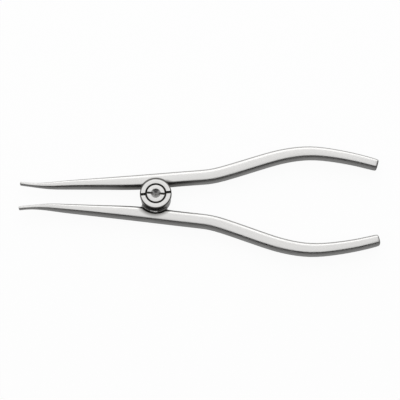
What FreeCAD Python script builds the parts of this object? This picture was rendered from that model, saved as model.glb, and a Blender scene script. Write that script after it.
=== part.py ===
import FreeCAD, Part
import math
import os

import Sketcher
from FreeCAD import Placement, Rotation, Vector

# Ligature pliers, in millimetres.
# Two slim forged arms are joined by a lap joint at their eyes, and they do not cross:
# squeezing the handles spreads the beaks, which pulls a ligature wire tight.
# Origin: the pivot axis where it leaves the rear face of the joint.
# +X runs along the handles, the tips point to -X, +Y is the side of the upper arm, and
# +Z points to the front, where the slotted wire collar stands.

# Every driving size. Each is written once and read from the sheet.
SIZES = {
    # lap joint
    "eye_stack": 5.4,          # front face of one eye to rear face of the other
    "lap_gap": 0.06,           # running gap between the two eyes
    "eye_radius": 5.8,
    "eye_stand": 0.08,         # the eyes are faced this much proud of the arms
    "shoulder_gap": 1.1,       # round the other arm's eye
    "shoulder_round": 1.2,     # soft outer edge of the circular shoulder
    "web_round": 1.5,          # fillet from an eye into its arm
    "web_bite": 0.3,           # how far the web reaches inside the arm
    "pivot_shift": 0.5,        # the pivot lies this much nearer to the upper arm
    # pivot screw
    "shank_radius": 2.0,
    "running_gap": 0.04,       # radial, between the shank and the collar's bush
    "thread_step": 0.25,       # shank radius down to thread radius
    "end_chamfer": 0.3,
    "head_radius": 3.58,
    "head_clear": 0.05,        # under the head
    "head_edge": 0.12,
    "driver_slot_width": 0.6,
    "driver_slot_depth": 0.75,
    "driver_slot_turn": -3.2,  # degrees, counter-clockwise from +X
    "dimple_radius": 1.8,
    "dimple_depth": 1.0,
    # wire collar
    "collar_lip": 0.35,        # overhang of the collar past the eye
    "collar_rise": 1.8,
    "collar_edge": 0.25,
    "collar_floor": 0.4,
    "head_gap": 0.34,          # radial, round the screw's head
    "bush_wall": 0.85,         # wall of the bush that lines the front eye
    "bush_seat_gap": 0.01,     # radial, drive fit of the bush in the eye
    "wire_slot_width": 0.88,
    "wire_slot_depth": 1.25,
    "wire_slot_turn": 6.3,     # degrees, counter-clockwise from +X
    # ends of the arms
    "tip_end_round": 0.35,
    "notch_width": 0.5,        # wire notch across the end of each beak
    "notch_depth": 0.6,
    "heel_end_round": 1.0,
}

# Cross-sections of an arm from tip to heel: the run from the station before it (for the
# two stations at the joint: the distance from the pivot), the distance of the arm's
# centre line from the middle line between the arms, width, thickness and corner radius.
# The joint's thickness follows the eyes.
STATIONS = {
    "tip": (9.6, 5.15, 1.25, 2.3, 0.42),
    "waist": (8.5, 4.42, 2.0, 3.1, 0.6),
    "beak": (15.0, 4.85, 2.95, 4.45, 0.75),
    "root": (14.0, 5.72, 4.2, 5.05, 0.85),
    "front": (6.0, 6.6, 5.3, None, 0.95),
    "back": (8.0, 8.08, 5.3, None, 1.0),
    "shank": (10.0, 9.1, 5.35, 5.3, 1.1),
    "bend": (8.0, 10.8, 5.4, 5.3, 1.2),
    "flare": (14.0, 15.6, 5.35, 5.25, 1.3),
    "hip": (10.0, 18.65, 5.2, 5.2, 1.3),
    "crown": (10.0, 20.0, 4.95, 5.15, 1.3),
    "grip": (10.0, 19.15, 4.6, 5.1, 1.3),
    "palm": (8.6, 17.5, 4.35, 5.05, 1.3),
    "heel": (8.0, 15.4, 4.2, 5.0, 1.3),
}
CORNER_FLATS = 3  # narrow flats that dress each long edge round
BEAK_SIDE = ["front", "root", "beak", "waist", "tip"]
HANDLE_SIDE = ["back", "shank", "bend", "flare", "hip", "crown", "grip", "palm", "heel"]

doc = FreeCAD.newDocument("LigaturePliers")
dims = doc.addObject("Spreadsheet::Sheet", "dims")


def fill_sheet():
    """Write every size into the sheet, one row each, under its own alias."""
    sizes = dict(SIZES)
    for station, values in STATIONS.items():
        for what, value in zip(("run", "reach", "width", "thick", "round"), values):
            if value is not None:
                sizes[f"{station}_{what}"] = value
    for row, (alias, value) in enumerate(sizes.items(), 1):
        dims.set(f"A{row}", alias)
        dims.set(f"B{row}", str(value))
        dims.setAlias(f"B{row}", alias)
    doc.recompute()


def total(terms):
    """Value and expression of a sum of sizes, written like 'eye_stack -lap_gap'."""
    value = 0.0
    expression = ""
    for term in terms.split():
        alias = term.lstrip("+-/")
        sign = -1 if term.startswith("-") else 1
        share = 0.5 if "/" in term else 1.0
        value += sign * share * float(dims.get(alias))
        expression += f" {'-' if sign < 0 else '+'} {share} * dims.{alias}"
    return value, expression.lstrip(" +")


def add_sketch(body, name, plane, lift=None):
    """A sketch on one of the body's own origin planes, raised by a sum of sizes."""
    sketch = body.newObject("Sketcher::SketchObject", name)
    base = [f for f in body.Origin.OriginFeatures if f.Role == plane][0]
    sketch.AttachmentSupport = [(base, "")]
    sketch.MapMode = "FlatFace"
    if lift:
        value, expression = total(lift)
        sketch.AttachmentOffset = Placement(Vector(0, 0, value), Rotation())
        sketch.setExpression("AttachmentOffset.Base.z", expression)
    return sketch


def bind(sketch, kind, where, terms, factor=1):
    """A dimension of the sketch that follows the sheet."""
    value, expression = total(terms)
    index = sketch.addConstraint(Sketcher.Constraint(kind, *where, factor * value))
    sketch.setExpression(f"Constraints[{index}]", f"{factor} * ({expression})")


def pin(sketch, edge, point, x_terms, y_terms):
    """Hold a point of an edge at sums of sizes from the origin; '' means on the axis."""
    for kind, terms, axis in (("DistanceX", x_terms, -2), ("DistanceY", y_terms, -1)):
        if terms:
            bind(sketch, kind, (-1, 1, edge, point), terms)
        else:
            sketch.addConstraint(Sketcher.Constraint("PointOnObject", edge, point, axis))


def add_profile(sketch, corners, rounds=()):
    """A closed outline through corners given as sums of sizes.

    rounds maps a corner's number to the radius term of the arc that leaves it, and to the
    arc's centre in numbers, which only says on which side the arc bulges.
    """
    rounds = dict(rounds)
    points = [Vector(total(x)[0], total(y)[0], 0) for x, y in corners]
    count = len(points)
    for i, start in enumerate(points):
        end = points[(i + 1) % count]
        if i in rounds:
            centre = rounds[i][1]
            radius = start.distanceToPoint(centre)
            first = math.atan2(start.y - centre.y, start.x - centre.x)
            last = math.atan2(end.y - centre.y, end.x - centre.x)
            circle = Part.Circle(centre, Vector(0, 0, 1), radius)
            sketch.addGeometry(Part.ArcOfCircle(circle, min(first, last), max(first, last)), False)
        else:
            sketch.addGeometry(Part.LineSegment(start, end), False)

    def leaving(i):
        return 2 if i in rounds and rounds[i][2] else 1

    for i in range(count):
        following = (i + 1) % count
        arriving = 3 - leaving(i)
        sketch.addConstraint(Sketcher.Constraint("Coincident", i, arriving, following, leaving(following)))
        pin(sketch, i, leaving(i), *corners[i])
        if i in rounds:
            bind(sketch, "Radius", (i,), rounds[i][0])


def revolve(body, kind, sketch, name):
    """Turn a sketch on the XZ plane once round the pivot axis."""
    feature = body.newObject(kind, name)
    feature.Profile = sketch
    feature.ReferenceAxis = (sketch, ["V_Axis"])
    feature.Angle = 360
    return feature


def pocket_through(body, sketch, name):
    """Cut a sketch through the whole body, both ways."""
    feature = body.newObject("PartDesign::Pocket", name)
    feature.Profile = sketch
    feature.Type = 1
    feature.Midplane = True
    return feature


def station_x(station):
    """Sum of runs that leads from the pivot to a station, and its sign along X."""
    chain, sign = (BEAK_SIDE, -1) if station in BEAK_SIDE else (HANDLE_SIDE, 1)
    steps = chain[:chain.index(station) + 1]
    value, expression = total(" ".join(f"{step}_run" for step in steps))
    return sign * value, f"{sign} * ({expression})"


def add_section(body, station, before, after, shift):
    """One cross-section of the arm: a rounded rectangle square to the arm's run."""
    sketch = body.newObject("Sketcher::SketchObject", f"{station}_section")
    plane = [f for f in body.Origin.OriginFeatures if f.Role == "YZ_Plane"][0]
    sketch.AttachmentSupport = [(plane, "")]
    sketch.MapMode = "FlatFace"
    x_value, x_terms = station_x(station)
    reach, reach_terms = total(f"{station}_reach {shift}pivot_shift")
    middle, middle_terms = total("/eye_stack")
    rise, rise_terms = total(f"{after}_reach -{before}_reach")
    length = station_x(after)[0] - station_x(before)[0]
    length_terms = f"({station_x(after)[1]}) - ({station_x(before)[1]})"
    turn = math.degrees(math.atan2(rise, length))
    sketch.AttachmentOffset = Placement(Vector(reach, middle, x_value), Rotation(Vector(0, 1, 0), turn))
    sketch.setExpression("AttachmentOffset.Base.x", reach_terms)
    sketch.setExpression("AttachmentOffset.Base.y", middle_terms)
    sketch.setExpression("AttachmentOffset.Base.z", x_terms)
    sketch.setExpression("AttachmentOffset.Rotation.Angle", f"atan2({rise_terms}; {length_terms})")

    thick_terms = f"{station}_thick" if STATIONS[station][3] else "eye_stack -eye_stand -eye_stand"
    wide = total(f"{station}_width")[0] / 2
    deep = total(thick_terms)[0] / 2
    corner = total(f"{station}_round")[0]
    flat_x = wide - corner
    flat_y = deep - corner
    sides = [
        (Vector(-flat_x, -deep, 0), Vector(flat_x, -deep, 0)),
        (Vector(wide, -flat_y, 0), Vector(wide, flat_y, 0)),
        (Vector(flat_x, deep, 0), Vector(-flat_x, deep, 0)),
        (Vector(-wide, flat_y, 0), Vector(-wide, -flat_y, 0)),
    ]
    centres = [(flat_x, -flat_y), (flat_x, flat_y), (-flat_x, flat_y), (-flat_x, -flat_y)]
    constraints = []
    step = CORNER_FLATS + 2
    for i in range(4):
        sketch.addGeometry(Part.LineSegment(*sides[i]), False)
        centre = Vector(*centres[i], 0)
        start = (i - 1) * math.pi / 2
        circle = Part.Circle(centre, Vector(0, 0, 1), corner)
        sketch.addGeometry(Part.ArcOfCircle(circle, start, start + math.pi / 2), True)
        side, arc = step * i, step * i + 1
        constraints.append(Sketcher.Constraint("Tangent", side, 2, arc, 1))
        constraints.append(Sketcher.Constraint("Tangent", arc, 2, step * ((i + 1) % 4), 1))
        joint = (arc, 1)
        for k in range(CORNER_FLATS):
            turns = [start + math.pi / 2 * n / CORNER_FLATS for n in (k, k + 1)]
            points = [centre + corner * Vector(math.cos(turn), math.sin(turn), 0) for turn in turns]
            flat = sketch.addGeometry(Part.LineSegment(*points), False)
            constraints.append(Sketcher.Constraint("Coincident", *joint, flat, 1))
            joint = (flat, 2)
            if k + 1 < CORNER_FLATS:
                constraints.append(Sketcher.Constraint("PointOnObject", flat, 2, arc))
                constraints.append(Sketcher.Constraint("Equal", flat, flat + 1))
        constraints.append(Sketcher.Constraint("Coincident", *joint, arc, 2))
    constraints += [Sketcher.Constraint("Horizontal", step * i) for i in (0, 2)]
    constraints += [Sketcher.Constraint("Vertical", step * i) for i in (1, 3)]
    constraints += [Sketcher.Constraint("Equal", 1, step * i + 1) for i in (1, 2)]
    constraints.append(Sketcher.Constraint("Symmetric", 0, 1, 2 * step, 1, -1, 1))
    sketch.addConstraint(constraints)
    bind(sketch, "DistanceX", (0, 1, 0, 2), f"{station}_width -{station}_round -{station}_round")
    bind(sketch, "DistanceY", (step, 1, step, 2), f"{thick_terms} -{station}_round -{station}_round")
    bind(sketch, "Radius", (1,), f"{station}_round")
    return sketch


def add_eye_sketch(body, shift):
    """Outline of an eye: its round end, and a fillet each side into the arm's inner edge."""
    sketch = add_sketch(body, "eye_outline", "XY_Plane", "/eye_stack /lap_gap")
    eye = total("eye_radius")[0]
    fillet = total("web_round")[0]
    webs = []
    for station in ("front", "back"):
        edge = f"{station}_reach {shift}pivot_shift -/{station}_width web_bite"
        height = total(edge)[0]
        away = math.sqrt((eye + fillet) ** 2 - (height - fillet) ** 2)
        webs.append((edge, Vector(away if station == "back" else -away, height - fillet, 0)))
    (left_edge, left), (right_edge, right) = webs
    up = Vector(0, 0, 1)
    left_angle = math.atan2(left.y, left.x)
    right_angle = math.atan2(right.y, right.x)
    sketch.addGeometry(Part.ArcOfCircle(Part.Circle(Vector(), up, eye), left_angle, right_angle + 2 * math.pi))
    sketch.addGeometry(Part.ArcOfCircle(Part.Circle(right, up, fillet), math.pi / 2, right_angle + math.pi))
    sketch.addGeometry(Part.ArcOfCircle(Part.Circle(left, up, fillet), left_angle - math.pi, math.pi / 2))
    sketch.addGeometry(Part.LineSegment(right + Vector(0, fillet, 0), left + Vector(0, fillet, 0)))
    sketch.addConstraint([
        Sketcher.Constraint("Coincident", 0, 3, -1, 1),
        Sketcher.Constraint("Tangent", 0, 2, 1, 2),
        Sketcher.Constraint("Tangent", 0, 1, 2, 1),
        Sketcher.Constraint("Coincident", 1, 1, 3, 1),
        Sketcher.Constraint("Coincident", 2, 2, 3, 2),
        Sketcher.Constraint("Vertical", 1, 3, 1, 1),
        Sketcher.Constraint("Vertical", 2, 3, 2, 2),
    ])
    bind(sketch, "Radius", (0,), "eye_radius")
    bind(sketch, "Radius", (1,), "web_round")
    bind(sketch, "Radius", (2,), "web_round")
    bind(sketch, "DistanceY", (-1, 1, 1, 1), right_edge)
    bind(sketch, "DistanceY", (-1, 1, 2, 2), left_edge)
    return sketch


def round_end(body, base, name, along, radius_alias):
    """Round the edges of the face that lies furthest along a direction."""
    doc.recompute()
    end_face = max(base.Shape.Faces, key=lambda face: face.CenterOfMass.dot(along))
    edges = [f"Edge{i}" for i, edge in enumerate(base.Shape.Edges, 1)
             if any(edge.isSame(other) for other in end_face.Edges)]
    feature = body.newObject("PartDesign::Fillet", name)
    feature.Base = (base, edges)
    feature.Radius = total(radius_alias)[0]
    feature.setExpression("Radius", f"dims.{radius_alias}")
    return feature


def make_arm(label, shift, bore_terms):
    """One forging: beak, half-thickness eye and handle, with its eye to the front."""
    body = doc.addObject("PartDesign::Body", label)
    body.Label = label
    order = BEAK_SIDE[::-1] + HANDLE_SIDE
    sections = []
    for i, station in enumerate(order):
        before = order[max(i - 1, 0)]
        after = order[min(i + 1, len(order) - 1)]
        sections.append(add_section(body, station, before, after, shift))
    forging = body.newObject("PartDesign::AdditiveLoft", "forging")
    forging.Profile = sections[0]
    forging.Sections = sections[1:]

    shoulder = add_sketch(body, "shoulder_outline", "XZ_Plane")
    wall = "eye_radius shoulder_gap"
    add_profile(shoulder, [
        ("", "/eye_stack /lap_gap"),
        ("", "-shoulder_round"),
        (f"{wall} shoulder_round", "-shoulder_round"),
        (f"{wall} shoulder_round", "eye_stand"),
        (wall, "eye_stand shoulder_round"),
        (wall, "/eye_stack /lap_gap"),
    ], {3: ("shoulder_round", Vector(total(f"{wall} shoulder_round")[0],
                                     total("eye_stand shoulder_round")[0], 0), True)})
    revolve(body, "PartDesign::Groove", shoulder, "lap_shoulder")

    eye = body.newObject("PartDesign::Pad", "eye")
    eye.Profile = add_eye_sketch(body, shift)
    eye.setExpression("Length", total("/eye_stack -/lap_gap")[1])

    bore = add_sketch(body, "bore_outline", "XY_Plane")
    bore.addGeometry(Part.Circle(Vector(), Vector(0, 0, 1), total(bore_terms)[0]))
    bore.addConstraint(Sketcher.Constraint("Coincident", 0, 3, -1, 1))
    bind(bore, "Radius", (0,), bore_terms)
    pocket_through(body, bore, "pivot_bore")

    heel = round_end(body, body.Tip, "heel_round", Vector(1, 0, 0), "heel_end_round")
    round_end(body, heel, "tip_round", Vector(-1, 0, 0), "tip_end_round")

    notch = add_sketch(body, "notch_outline", "XZ_Plane")
    tip = "-front_run -root_run -beak_run -waist_run -tip_run"
    add_profile(notch, [
        (f"{tip} notch_depth", "/eye_stack -/notch_width"),
        (f"{tip} notch_depth", "/eye_stack /notch_width"),
        (f"{tip} -notch_depth", "/eye_stack /notch_width"),
        (f"{tip} -notch_depth", "/eye_stack -/notch_width"),
    ])
    pocket_through(body, notch, "wire_notch")
    return body


def add_bar(body, name, lift, width_alias, turn_alias):
    """A straight bar across the pivot, turned about it, as the outline of a slot."""
    sketch = add_sketch(body, name, "XY_Plane", lift)
    sketch.AttachmentOffset.Rotation = Rotation(Vector(0, 0, 1), total(turn_alias)[0])
    sketch.setExpression("AttachmentOffset.Rotation.Angle", f"dims.{turn_alias}")
    half = "eye_radius collar_lip collar_lip"
    add_profile(sketch, [(f"-{half.replace(' ', ' -')}", f"-/{width_alias}"), (half, f"-/{width_alias}"),
                         (half, f"/{width_alias}"), (f"-{half.replace(' ', ' -')}", f"/{width_alias}")])
    return sketch


def cut_slot(body, sketch, name, depth_alias):
    """Cut a bar down from the sketch's plane."""
    feature = body.newObject("PartDesign::Pocket", name)
    feature.Profile = sketch
    feature.setExpression("Length", f"dims.{depth_alias}")
    return feature


def make_collar():
    """Slotted collar for the wire ends: a cup whose bush lines the front eye."""
    body = doc.addObject("PartDesign::Body", "wire_collar")
    rim = "eye_radius collar_lip"
    cup = "head_radius head_gap"
    bore = "shank_radius running_gap"
    top = "eye_stack collar_rise"
    profile = add_sketch(body, "collar_profile", "XZ_Plane")
    add_profile(profile, [
        (bore, "/eye_stack /lap_gap"),
        (f"{bore} bush_wall", "/eye_stack /lap_gap"),
        (f"{bore} bush_wall", "eye_stack"),
        (f"{rim} -collar_edge", "eye_stack"),
        (rim, "eye_stack collar_edge"),
        (rim, f"{top} -collar_edge"),
        (f"{rim} -collar_edge", top),
        (f"{cup} head_edge", top),
        (cup, f"{top} -head_edge"),
        (cup, "eye_stack collar_floor"),
        (bore, "eye_stack collar_floor"),
    ])
    revolve(body, "PartDesign::Revolution", profile, "turned_blank")
    bar = add_bar(body, "wire_slot_outline", top, "wire_slot_width", "wire_slot_turn")
    cut_slot(body, bar, "wire_slots", "wire_slot_depth")
    return body


def make_screw():
    """Shouldered pivot screw: slotted, dimpled head, smooth shank, threaded end."""
    body = doc.addObject("PartDesign::Body", "pivot_screw")
    top = "eye_stack collar_rise"
    thread = "shank_radius -thread_step"
    profile = add_sketch(body, "screw_profile", "XZ_Plane")
    add_profile(profile, [
        ("", ""),
        (f"{thread} -end_chamfer", ""),
        (thread, "end_chamfer"),
        (thread, "/eye_stack -/lap_gap"),
        ("shank_radius", "/eye_stack -/lap_gap"),
        ("shank_radius", "eye_stack collar_floor head_clear"),
        ("head_radius", "eye_stack collar_floor head_clear"),
        ("head_radius", f"{top} -head_edge"),
        ("head_radius -head_edge", top),
        ("dimple_radius", top),
        ("", f"{top} -dimple_depth"),
    ])
    revolve(body, "PartDesign::Revolution", profile, "turned_blank")
    bar = add_bar(body, "driver_slot_outline", top, "driver_slot_width", "driver_slot_turn")
    cut_slot(body, bar, "driver_slot", "driver_slot_depth")
    return body


def check(bodies):
    """Stop if any object of the document has failed or any piece is not a sound solid."""
    for item in doc.Objects:
        if "Invalid" in item.State or "Error" in item.State:
            raise RuntimeError(f"{item.Name} failed: {item.State}")
    for body in bodies:
        shape = body.Shape
        if shape.isNull() or not shape.isValid() or len(shape.Solids) != 1:
            raise RuntimeError(f"{body.Label} is not one sound solid")


fill_sheet()
upper_arm = make_arm("upper_arm", "-", "shank_radius running_gap bush_wall bush_seat_gap")
lower_arm = make_arm("lower_arm", "+", "shank_radius -thread_step")
# The lower arm is the same forging turned over about the X axis.
lower_arm.Placement = Placement(Vector(0, 0, total("eye_stack")[0]), Rotation(Vector(1, 0, 0), 180))
lower_arm.setExpression("Placement.Base.z", total("eye_stack")[1])
pieces = [upper_arm, lower_arm, make_collar(), make_screw()]
doc.recompute()
check(pieces)

os.makedirs("parts", exist_ok=True)
for piece in pieces:
    piece.Shape.exportStep(f"parts/{piece.Label}.step")
    box = piece.Shape.BoundBox
    print(f"{piece.Label}: {piece.Shape.Volume:.1f} mm3, x {box.XMin:.2f}..{box.XMax:.2f}, "
          f"y {box.YMin:.2f}..{box.YMax:.2f}, z {box.ZMin:.2f}..{box.ZMax:.2f}")
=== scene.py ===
# %% [markdown]
# # Ligature pliers, dressed for a product photograph
#
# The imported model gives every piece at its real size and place, so nothing is fitted by
# eye here. This lesson remodels the four pieces as smooth forged and turned parts, gives
# them satin steel with the marks that belts, lathes and hands leave, and sets them in a
# pale studio like the one such instruments are photographed in.

# %% Load the model
import math

import bmesh
import bpy
from mathutils import Matrix, Vector


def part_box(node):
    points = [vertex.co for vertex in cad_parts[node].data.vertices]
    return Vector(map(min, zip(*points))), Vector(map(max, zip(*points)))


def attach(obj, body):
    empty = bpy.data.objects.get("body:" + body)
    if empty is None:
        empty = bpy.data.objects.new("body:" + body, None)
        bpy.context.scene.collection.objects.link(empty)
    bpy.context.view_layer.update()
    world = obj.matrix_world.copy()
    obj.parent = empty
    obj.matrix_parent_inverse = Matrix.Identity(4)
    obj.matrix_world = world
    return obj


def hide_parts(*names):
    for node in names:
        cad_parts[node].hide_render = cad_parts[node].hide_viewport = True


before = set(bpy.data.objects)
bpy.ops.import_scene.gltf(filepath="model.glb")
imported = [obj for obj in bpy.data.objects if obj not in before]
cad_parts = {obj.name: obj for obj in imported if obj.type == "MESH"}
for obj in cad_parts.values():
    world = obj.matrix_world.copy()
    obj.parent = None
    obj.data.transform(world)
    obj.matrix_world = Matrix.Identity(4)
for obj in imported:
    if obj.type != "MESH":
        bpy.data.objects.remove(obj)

MM = 0.001
bpy.context.view_layer.update()

# %% [markdown]
# ## The camera
#
# The pliers lie on their rear face and the camera looks down on them from the front,
# 20 degrees off square, with a long lens so that both handles keep their proportions.
# The joint's collar is the best landmark: its front face is a known point of the model
# and its middle is easy to find in the picture, so the camera is aimed from there.

# %% Camera
PHOTO_SIZE = 400
COLLAR_PIXEL = (155.75, 193.2)
PIXEL_SIZE = 0.3867 * MM
ELEVATION = math.radians(70)
ROLL = math.radians(1.04)
LENS = 150
SENSOR = 36


def camera_axes():
    """Right, up and back directions of the camera in the model's axes."""
    right = Vector((1, 0, 0))
    up = Vector((0, math.sin(ELEVATION), math.cos(ELEVATION)))
    back = Vector((0, -math.cos(ELEVATION), math.sin(ELEVATION)))
    turned_right = right * math.cos(ROLL) + up * math.sin(ROLL)
    turned_up = up * math.cos(ROLL) - right * math.sin(ROLL)
    return turned_right, turned_up, back


def add_camera():
    """A long-lens camera that sees the collar where the picture shows it."""
    right, up, back = camera_axes()
    collar = Vector((0, 0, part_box("wire_collar")[1].z))
    across = (PHOTO_SIZE / 2 - COLLAR_PIXEL[0]) * PIXEL_SIZE
    down = (PHOTO_SIZE / 2 - COLLAR_PIXEL[1]) * PIXEL_SIZE
    aim = collar + right * across - up * down
    distance = PHOTO_SIZE * PIXEL_SIZE * LENS / SENSOR
    camera = bpy.data.objects.new("camera", bpy.data.cameras.new("camera"))
    bpy.context.scene.collection.objects.link(camera)
    camera.data.lens = LENS
    camera.data.sensor_width = SENSOR
    camera.data.clip_start = 0.01
    camera.data.clip_end = 20
    turn = Matrix((right, up, back)).transposed()
    camera.matrix_world = Matrix.Translation(aim + back * distance) @ turn.to_4x4()
    bpy.context.scene.camera = camera
    return distance


print(f"camera {add_camera():.3f} m from the pliers")

# %% [markdown]
# ## The studio
#
# A pale table, a big soft light overhead and another behind, and an even pale room.
# Polished steel shows its surroundings, so the lights' places matter more than their
# strengths: the rounded far edges of the arms pick up the light behind, and a black card
# in front, as photographers stand one beside bright metal, draws a dark line along the
# near edges. The camera sees the table as almost white, whatever light falls on it, and
# only the small rest of its colour takes the pliers' shadow.

# %% Nodes by name
def add_node(tree, kind, inputs=None, **settings):
    """A node with its settings; an input is a number, a colour or another node's output."""
    node = tree.nodes.new("ShaderNode" + kind)
    for name, value in settings.items():
        setattr(node, name, value)
    for name, value in (inputs or {}).items():
        if isinstance(value, bpy.types.NodeSocket):
            tree.links.new(value, node.inputs[name])
        else:
            node.inputs[name].default_value = value
    return node


def compute(tree, operation, *values):
    """The output of a Math node."""
    return add_node(tree, "Math", dict(enumerate(values)), operation=operation).outputs[0]


print("helpers for nodes:", add_node.__name__, compute.__name__)

# %% Table
TABLE_SIZE = 4.0
TABLE_TONE = 0.86
TABLE_GLOW = 0.935


def table_paper():
    """White paper to the camera and in reflections, and pale paper to the lights."""
    material = bpy.data.materials.new("table_paper")
    material.use_nodes = True
    tree = material.node_tree
    tree.nodes.clear()
    paper = add_node(tree, "BsdfDiffuse", {"Color": (TABLE_TONE, TABLE_TONE, TABLE_TONE, 1)})
    glow = add_node(tree, "Emission", {"Color": (1, 1, 1, 1), "Strength": 1})
    rays = add_node(tree, "LightPath").outputs
    direct = compute(tree, "ADD", rays["Is Camera Ray"], rays["Is Glossy Ray"])
    seen = compute(tree, "ADD", direct, rays["Is Transmission Ray"])
    share = compute(tree, "MULTIPLY", seen, TABLE_GLOW)
    mix = add_node(tree, "MixShader", {0: share, 1: paper.outputs[0], 2: glow.outputs[0]})
    add_node(tree, "OutputMaterial", {"Surface": mix.outputs[0]})
    return material


bpy.ops.mesh.primitive_plane_add(size=TABLE_SIZE)
table = bpy.context.object
table.name = "table"
table.data.materials.append(table_paper())
print(f"table {TABLE_SIZE} m across")

# %% Lights and room
ROOM_STRENGTH = 0.6
LIGHT_AIM = Vector((0.017, 0, 0))
# Name, place, size and power.
SOFT_LIGHTS = [
    ("overhead", (0, 0, 0.9), (1.6, 1.0), 2.7),
    ("behind", (0, 0.78, 0.45), (1.8, 0.8), 5.2)]


def add_light(name, place, size, power):
    """A square soft light turned towards the pliers."""
    data = bpy.data.lights.new(name, "AREA")
    data.shape = "RECTANGLE"
    data.size, data.size_y = size
    data.energy = power
    light = bpy.data.objects.new(name, data)
    bpy.context.scene.collection.objects.link(light)
    light.location = place
    light.rotation_euler = (Vector(place) - LIGHT_AIM).to_track_quat("Z", "Y").to_euler()


def set_room(strength):
    """An even pale room."""
    world = bpy.data.worlds.new("room")
    bpy.context.scene.world = world
    world.use_nodes = True
    background = world.node_tree.nodes["Background"]
    background.inputs["Color"].default_value = (1, 1, 1, 1)
    background.inputs["Strength"].default_value = strength


for soft_light in SOFT_LIGHTS:
    add_light(*soft_light)
    print(soft_light[0], "light of", soft_light[3], "W")
set_room(ROOM_STRENGTH)
bpy.context.scene.view_settings.view_transform = "Standard"

# %% Black card
CARD_PLACE = (0, -0.5, 0.25)
CARD_WIDTH = 1.8
CARD_HEIGHT = 0.5
CARD_TONE = 0.02
CARD_ROUGHNESS = 0.9


def card_paper():
    """Dull black."""
    material = bpy.data.materials.new("card_paper")
    material.use_nodes = True
    shader = material.node_tree.nodes["Principled BSDF"]
    shader.inputs["Base Color"].default_value = (CARD_TONE, CARD_TONE, CARD_TONE, 1)
    shader.inputs["Roughness"].default_value = CARD_ROUGHNESS
    return material


bpy.ops.mesh.primitive_plane_add(size=1, location=CARD_PLACE, rotation=(math.radians(90), 0, 0))
card = bpy.context.object
card.name = "black_card"
card.scale = (CARD_WIDTH, CARD_HEIGHT, 1)
card.visible_camera = False
card.data.materials.append(card_paper())
print(f"black card {CARD_WIDTH} x {CARD_HEIGHT} m")

# %% [markdown]
# ## The bench: a few moves used for every piece
#
# These helpers do what a hand does in the viewport: clear the selection, pick parts of a
# mesh by their place, apply a modifier, and cut or join with a second piece. An operator
# acts on everything selected, so each helper starts by clearing the selection.

# %% Selecting
def deselect_all():
    """Leave edit mode and clear the selection."""
    if bpy.context.object and bpy.context.object.mode != "OBJECT":
        bpy.ops.object.mode_set(mode="OBJECT")
    bpy.ops.object.select_all(action="DESELECT")


def pick_object(piece):
    """Select one object alone and make it active."""
    deselect_all()
    piece.select_set(True)
    bpy.context.view_layer.objects.active = piece


def select_in_edit(kind, test):
    """Select the vertices, edges or faces that pass a test, in edit mode."""
    bpy.ops.mesh.select_mode(type=kind)
    bpy.ops.mesh.select_all(action="DESELECT")
    mesh = bmesh.from_edit_mesh(bpy.context.object.data)
    for element in {"VERT": mesh.verts, "EDGE": mesh.edges, "FACE": mesh.faces}[kind]:
        element.select = test(element)
    mesh.select_flush_mode()
    bmesh.update_edit_mesh(bpy.context.object.data)


deselect_all()
print("selected:", len(bpy.context.selected_objects))

# %% Applying, combining and measuring
def apply_modifier(piece, kind, **settings):
    """Add a modifier, set it and make it part of the mesh."""
    modifier = piece.modifiers.new(kind.lower(), kind)
    for name, value in settings.items():
        setattr(modifier, name, value)
    pick_object(piece)
    bpy.ops.object.modifier_apply(modifier=modifier.name)


def combine(piece, tool, operation):
    """Cut with or join a second piece, which is then thrown away."""
    apply_modifier(piece, "BOOLEAN", object=tool, operation=operation, solver="EXACT")
    bpy.data.objects.remove(tool)


def describe(piece):
    """Print a piece's faces and its length, width and height in millimetres."""
    mesh = bmesh.new()
    mesh.from_mesh(piece.data)
    places = [vertex.co / MM for vertex in mesh.verts]
    spans = [max(p[k] for p in places) - min(p[k] for p in places) for k in range(3)]
    size = " x ".join(f"{span:.2f}" for span in spans)
    print(f"{piece.name}: {len(mesh.faces)} faces, {size} mm, {mesh.calc_volume() / MM ** 3:.0f} mm3")
    mesh.free()


describe(table)

# %% [markdown]
# ## Outlines
#
# A turned piece starts as half of its section and a flat tool as its plan. Both are drawn
# by extruding one vertex from corner to corner. Real corners are never quite sharp, so an
# outline can have a small round at any corner, worked out from its two sides.

# %% Arcs and rounded corners
ROUND_STEPS = 4


def arc(centre, radius, start, end, steps):
    """Points along an arc, its angles in degrees."""
    angles = [math.radians(start + (end - start) * i / steps) for i in range(steps + 1)]
    return [(centre[0] + radius * math.cos(a), centre[1] + radius * math.sin(a)) for a in angles]


def round_corners(outline, radii):
    """The same outline with the corners named in radii, by their index, made round."""
    points = []
    for i, corner in enumerate(outline):
        if i not in radii:
            points.append(corner)
            continue
        here = Vector(corner)
        back = (Vector(outline[i - 1]) - here).normalized()
        ahead = (Vector(outline[(i + 1) % len(outline)]) - here).normalized()
        half = back.angle(ahead) / 2
        centre = here + (back + ahead).normalized() * radii[i] / math.sin(half)
        reach = radii[i] / math.tan(half)
        first = (here + back * reach - centre).normalized()
        last = (here + ahead * reach - centre).normalized()
        for step in range(ROUND_STEPS + 1):
            points.append(tuple(centre + first.slerp(last, step / ROUND_STEPS) * radii[i]))
    return points


square = [(0, 0), (1, 0), (1, 1), (0, 1)]
print("points of a square with two corners rounded:", len(round_corners(square, {1: 0.1, 2: 0.2})))

# %% Drawing, spinning and padding an outline
SPIN_STEPS = 128
SAME_PLACE = 1e-7


def face_outwards():
    """Turn the closed mesh in edit mode right side out; inside out it has a volume below zero."""
    bpy.ops.mesh.select_all(action="SELECT")
    bpy.ops.mesh.normals_make_consistent(inside=False)
    if bmesh.from_edit_mesh(bpy.context.object.data).calc_volume(signed=True) < 0:
        bpy.ops.mesh.flip_normals()


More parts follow.
